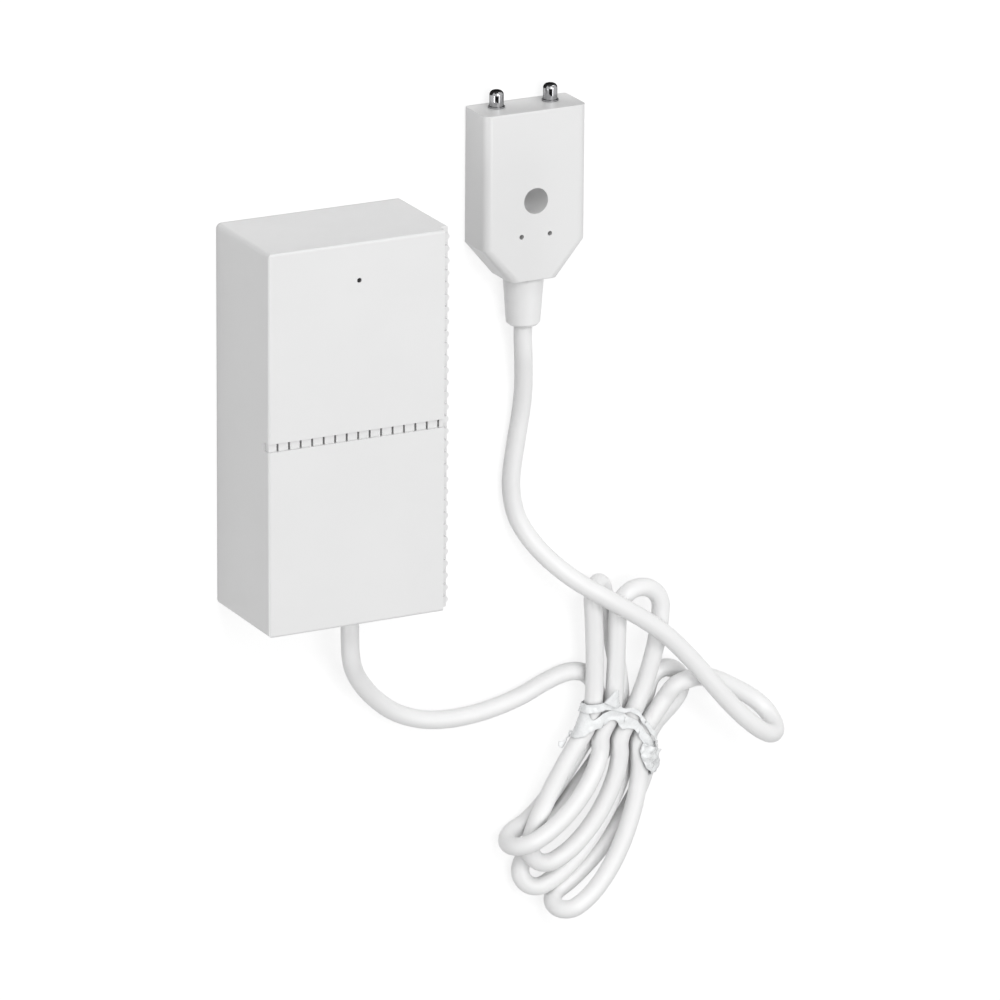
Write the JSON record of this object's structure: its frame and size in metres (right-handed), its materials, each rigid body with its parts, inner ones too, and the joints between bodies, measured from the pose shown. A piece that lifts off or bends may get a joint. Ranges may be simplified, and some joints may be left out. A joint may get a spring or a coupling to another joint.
{
  "type": "water leak sensor",
  "caption": "Wireless water leak sensor: a white box with a lift-off cover, a cable tied into a hank, and a flat screw-on probe with metal contact pins.",
  "frame": {"origin": "middle of the box's rear face, which lies on the surface under the object", "axes": "+X across the box towards the probe, +Y up along the box towards the probe's pins, +Z out of the front of the box"},
  "size_m": [0.127, 0.1787, 0.024],
  "materials": {
    "white_plastic": "satin, very fine grain",
    "base_plastic": "matt",
    "cable_jacket": "smooth, slightly glossy",
    "tie_plastic": "crinkled film",
    "pin_metal": "polished",
    "contact_metal": "nickel plated",
    "screw_metal": "zinc plated",
    "antenna_metal": "bare wire",
    "shield_metal": "satin can",
    "board": "solder resist",
    "black_plastic": "matt",
    "terminal_plastic": "matt",
    "clear_plastic": "clear",
    "smoked_plastic": "dark, lets the lamp's light through",
    "cell_jacket": "plain sleeve",
    "red_insulation": "matt",
    "grey_insulation": "matt"
  },
  "bodies": {
    "base": {"rear_base": "base_plastic", "circuit_board": "board", "board_screws": "screw_metal", "radio_module": "shield_metal", "antenna_wire": "antenna_metal", "processor_chip": "black_plastic", "buffer_capacitor": "shield_metal", "status_lamp": "clear_plastic", "learn_switch": "black_plastic", "battery_cell": "cell_jacket", "battery_cradle": "base_plastic", "contact_positive": "contact_metal", "contact_negative": "contact_metal", "terminal_block": "terminal_plastic", "terminal_screws": "screw_metal", "cable_grommet": "cable_jacket", "cable_clamp": "base_plastic", "clamp_screws": "screw_metal", "cord_box_end": "cable_jacket", "conductor_a": "red_insulation", "conductor_b": "grey_insulation", "cord_box_side": "cable_jacket", "cord_hank": "cable_jacket", "cord_probe_side": "cable_jacket", "hank_tie": "tie_plastic", "cord_probe_end": "cable_jacket", "probe_strain_relief": "cable_jacket", "probe_shell": "white_plastic", "probe_back_plate": "white_plastic", "pin_carrier": "base_plastic", "electrode_left": "pin_metal", "electrode_right": "pin_metal", "probe_wire_left": "red_insulation", "probe_wire_right": "grey_insulation"},
    "cover": {"front_cover": "white_plastic", "light_guide": "smoked_plastic"},
    "learn_key": {"learn_button": "base_plastic"}
  },
  "joints": [
    {"name": "cover_lift", "type": "slide", "parent": "base", "child": "cover", "axis": [0, 0, 1], "range_m": [0, 0.03]},
    {"name": "learn_press", "type": "slide", "parent": "base", "child": "learn_key", "axis": [0, 0, -1], "range_m": [0, 0.0003], "stiffness_N_per_m": 200}
  ]
}
